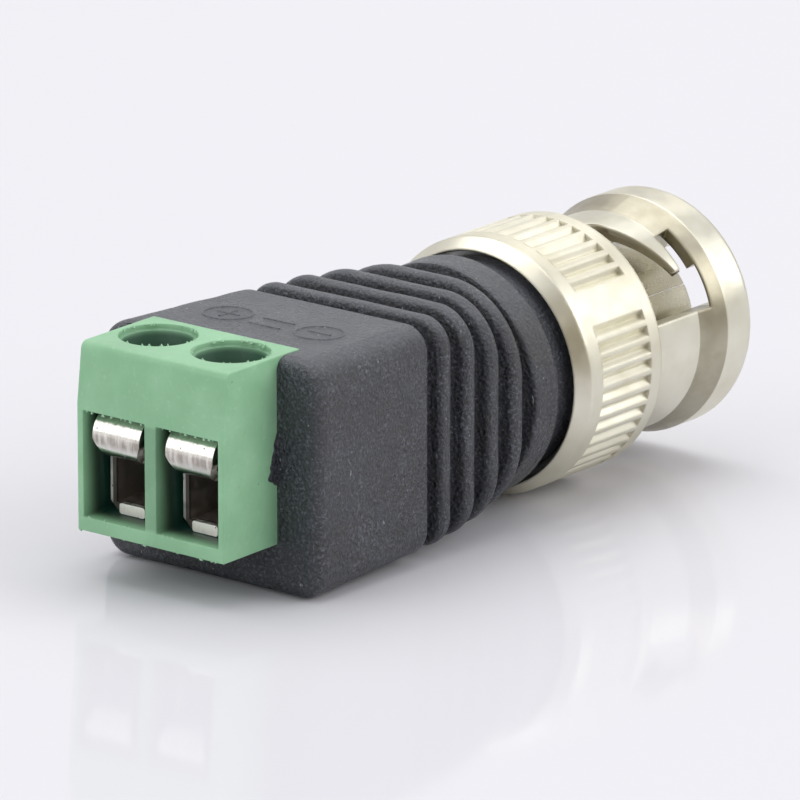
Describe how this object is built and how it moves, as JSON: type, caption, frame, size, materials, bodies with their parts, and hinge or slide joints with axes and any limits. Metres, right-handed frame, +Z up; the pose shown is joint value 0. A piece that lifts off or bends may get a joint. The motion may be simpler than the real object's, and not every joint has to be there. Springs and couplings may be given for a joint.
{
  "type": "bnc screw terminal adapter",
  "caption": "Bayonet coaxial plug with a sprung, knurled coupling sleeve, a ribbed black boot and a green rising-cage screw terminal for bare wires.",
  "frame": {"origin": "on the plug's axis, in the plane of the wire entries", "axes": "+X along the axis towards the mating end, +Z up towards the screw holes, +Y across the two wire entries, towards the inner conductor's one"},
  "size_m": [0.0444, 0.0151, 0.0146],
  "materials": {
    "boot": "soft moulded, fine grain",
    "terminal_housing": "moulded, satin",
    "cage": "zinc plated",
    "tinned_contact": "tin plated",
    "terminal_screw": "zinc plated",
    "centre_lead": "insulated wire",
    "ground_lead": "insulated wire",
    "plug_body": "nickel plated",
    "insulator": "natural white",
    "centre_pin": "gold plated",
    "gasket": "silicone",
    "coupling_sleeve": "nickel plated",
    "washer": "plain",
    "spring": "spring steel",
    "retaining_ring": "spring steel"
  },
  "bodies": {
    "shell": {"boot": "boot", "terminal_housing": "terminal_housing", "left_contact": "tinned_contact", "right_contact": "tinned_contact", "centre_lead": "centre_lead", "ground_lead": "ground_lead", "bnc_body": "plug_body", "rear_insulator": "insulator", "front_insulator": "insulator", "centre_pin": "centre_pin", "gasket": "gasket", "front_washer": "washer", "wave_spring": "spring"},
    "sleeve_carrier": {"rear_washer": "washer", "retaining_ring": "retaining_ring"},
    "coupling": {"coupling_sleeve": "coupling_sleeve"},
    "left_screw": {"left_terminal_screw": "terminal_screw"},
    "right_screw": {"right_terminal_screw": "terminal_screw"},
    "left_cage": {"left_clamp_cage": "cage"},
    "right_cage": {"right_clamp_cage": "cage"}
  },
  "joints": [
    {"name": "sleeve_push", "type": "slide", "parent": "shell", "child": "sleeve_carrier", "axis": [1, 0, 0], "range_m": [0, 0.001], "stiffness_N_per_m": 8000, "springref_m": -0.0004, "deforming": ["wave_spring"]},
    {"name": "sleeve_turn", "type": "hinge", "parent": "sleeve_carrier", "child": "coupling", "pos_m": [0.036, 0, 0], "axis": [1, 0, 0], "continuous": true},
    {"name": "left_screw_turn", "type": "hinge", "parent": "shell", "child": "left_screw", "pos_m": [0.00378, 0.0025, 0.005], "axis": [0, 0, -1], "range_deg": [0, 1960.1]},
    {"name": "right_screw_turn", "type": "hinge", "parent": "shell", "child": "right_screw", "pos_m": [0.00378, -0.0025, 0.005], "axis": [0, 0, -1], "range_deg": [0, 1960.1]},
    {"name": "left_cage_lift", "type": "slide", "parent": "shell", "child": "left_cage", "axis": [0, 0, 1], "range_m": [0, 0.00245]},
    {"name": "right_cage_lift", "type": "slide", "parent": "shell", "child": "right_cage", "axis": [0, 0, 1], "range_m": [0, 0.00245]}
  ],
  "couplings": [
    {"joint": "left_screw_turn", "follows": "left_cage_lift", "rad_per_m": 13963},
    {"joint": "right_screw_turn", "follows": "right_cage_lift", "rad_per_m": 13963}
  ]
}
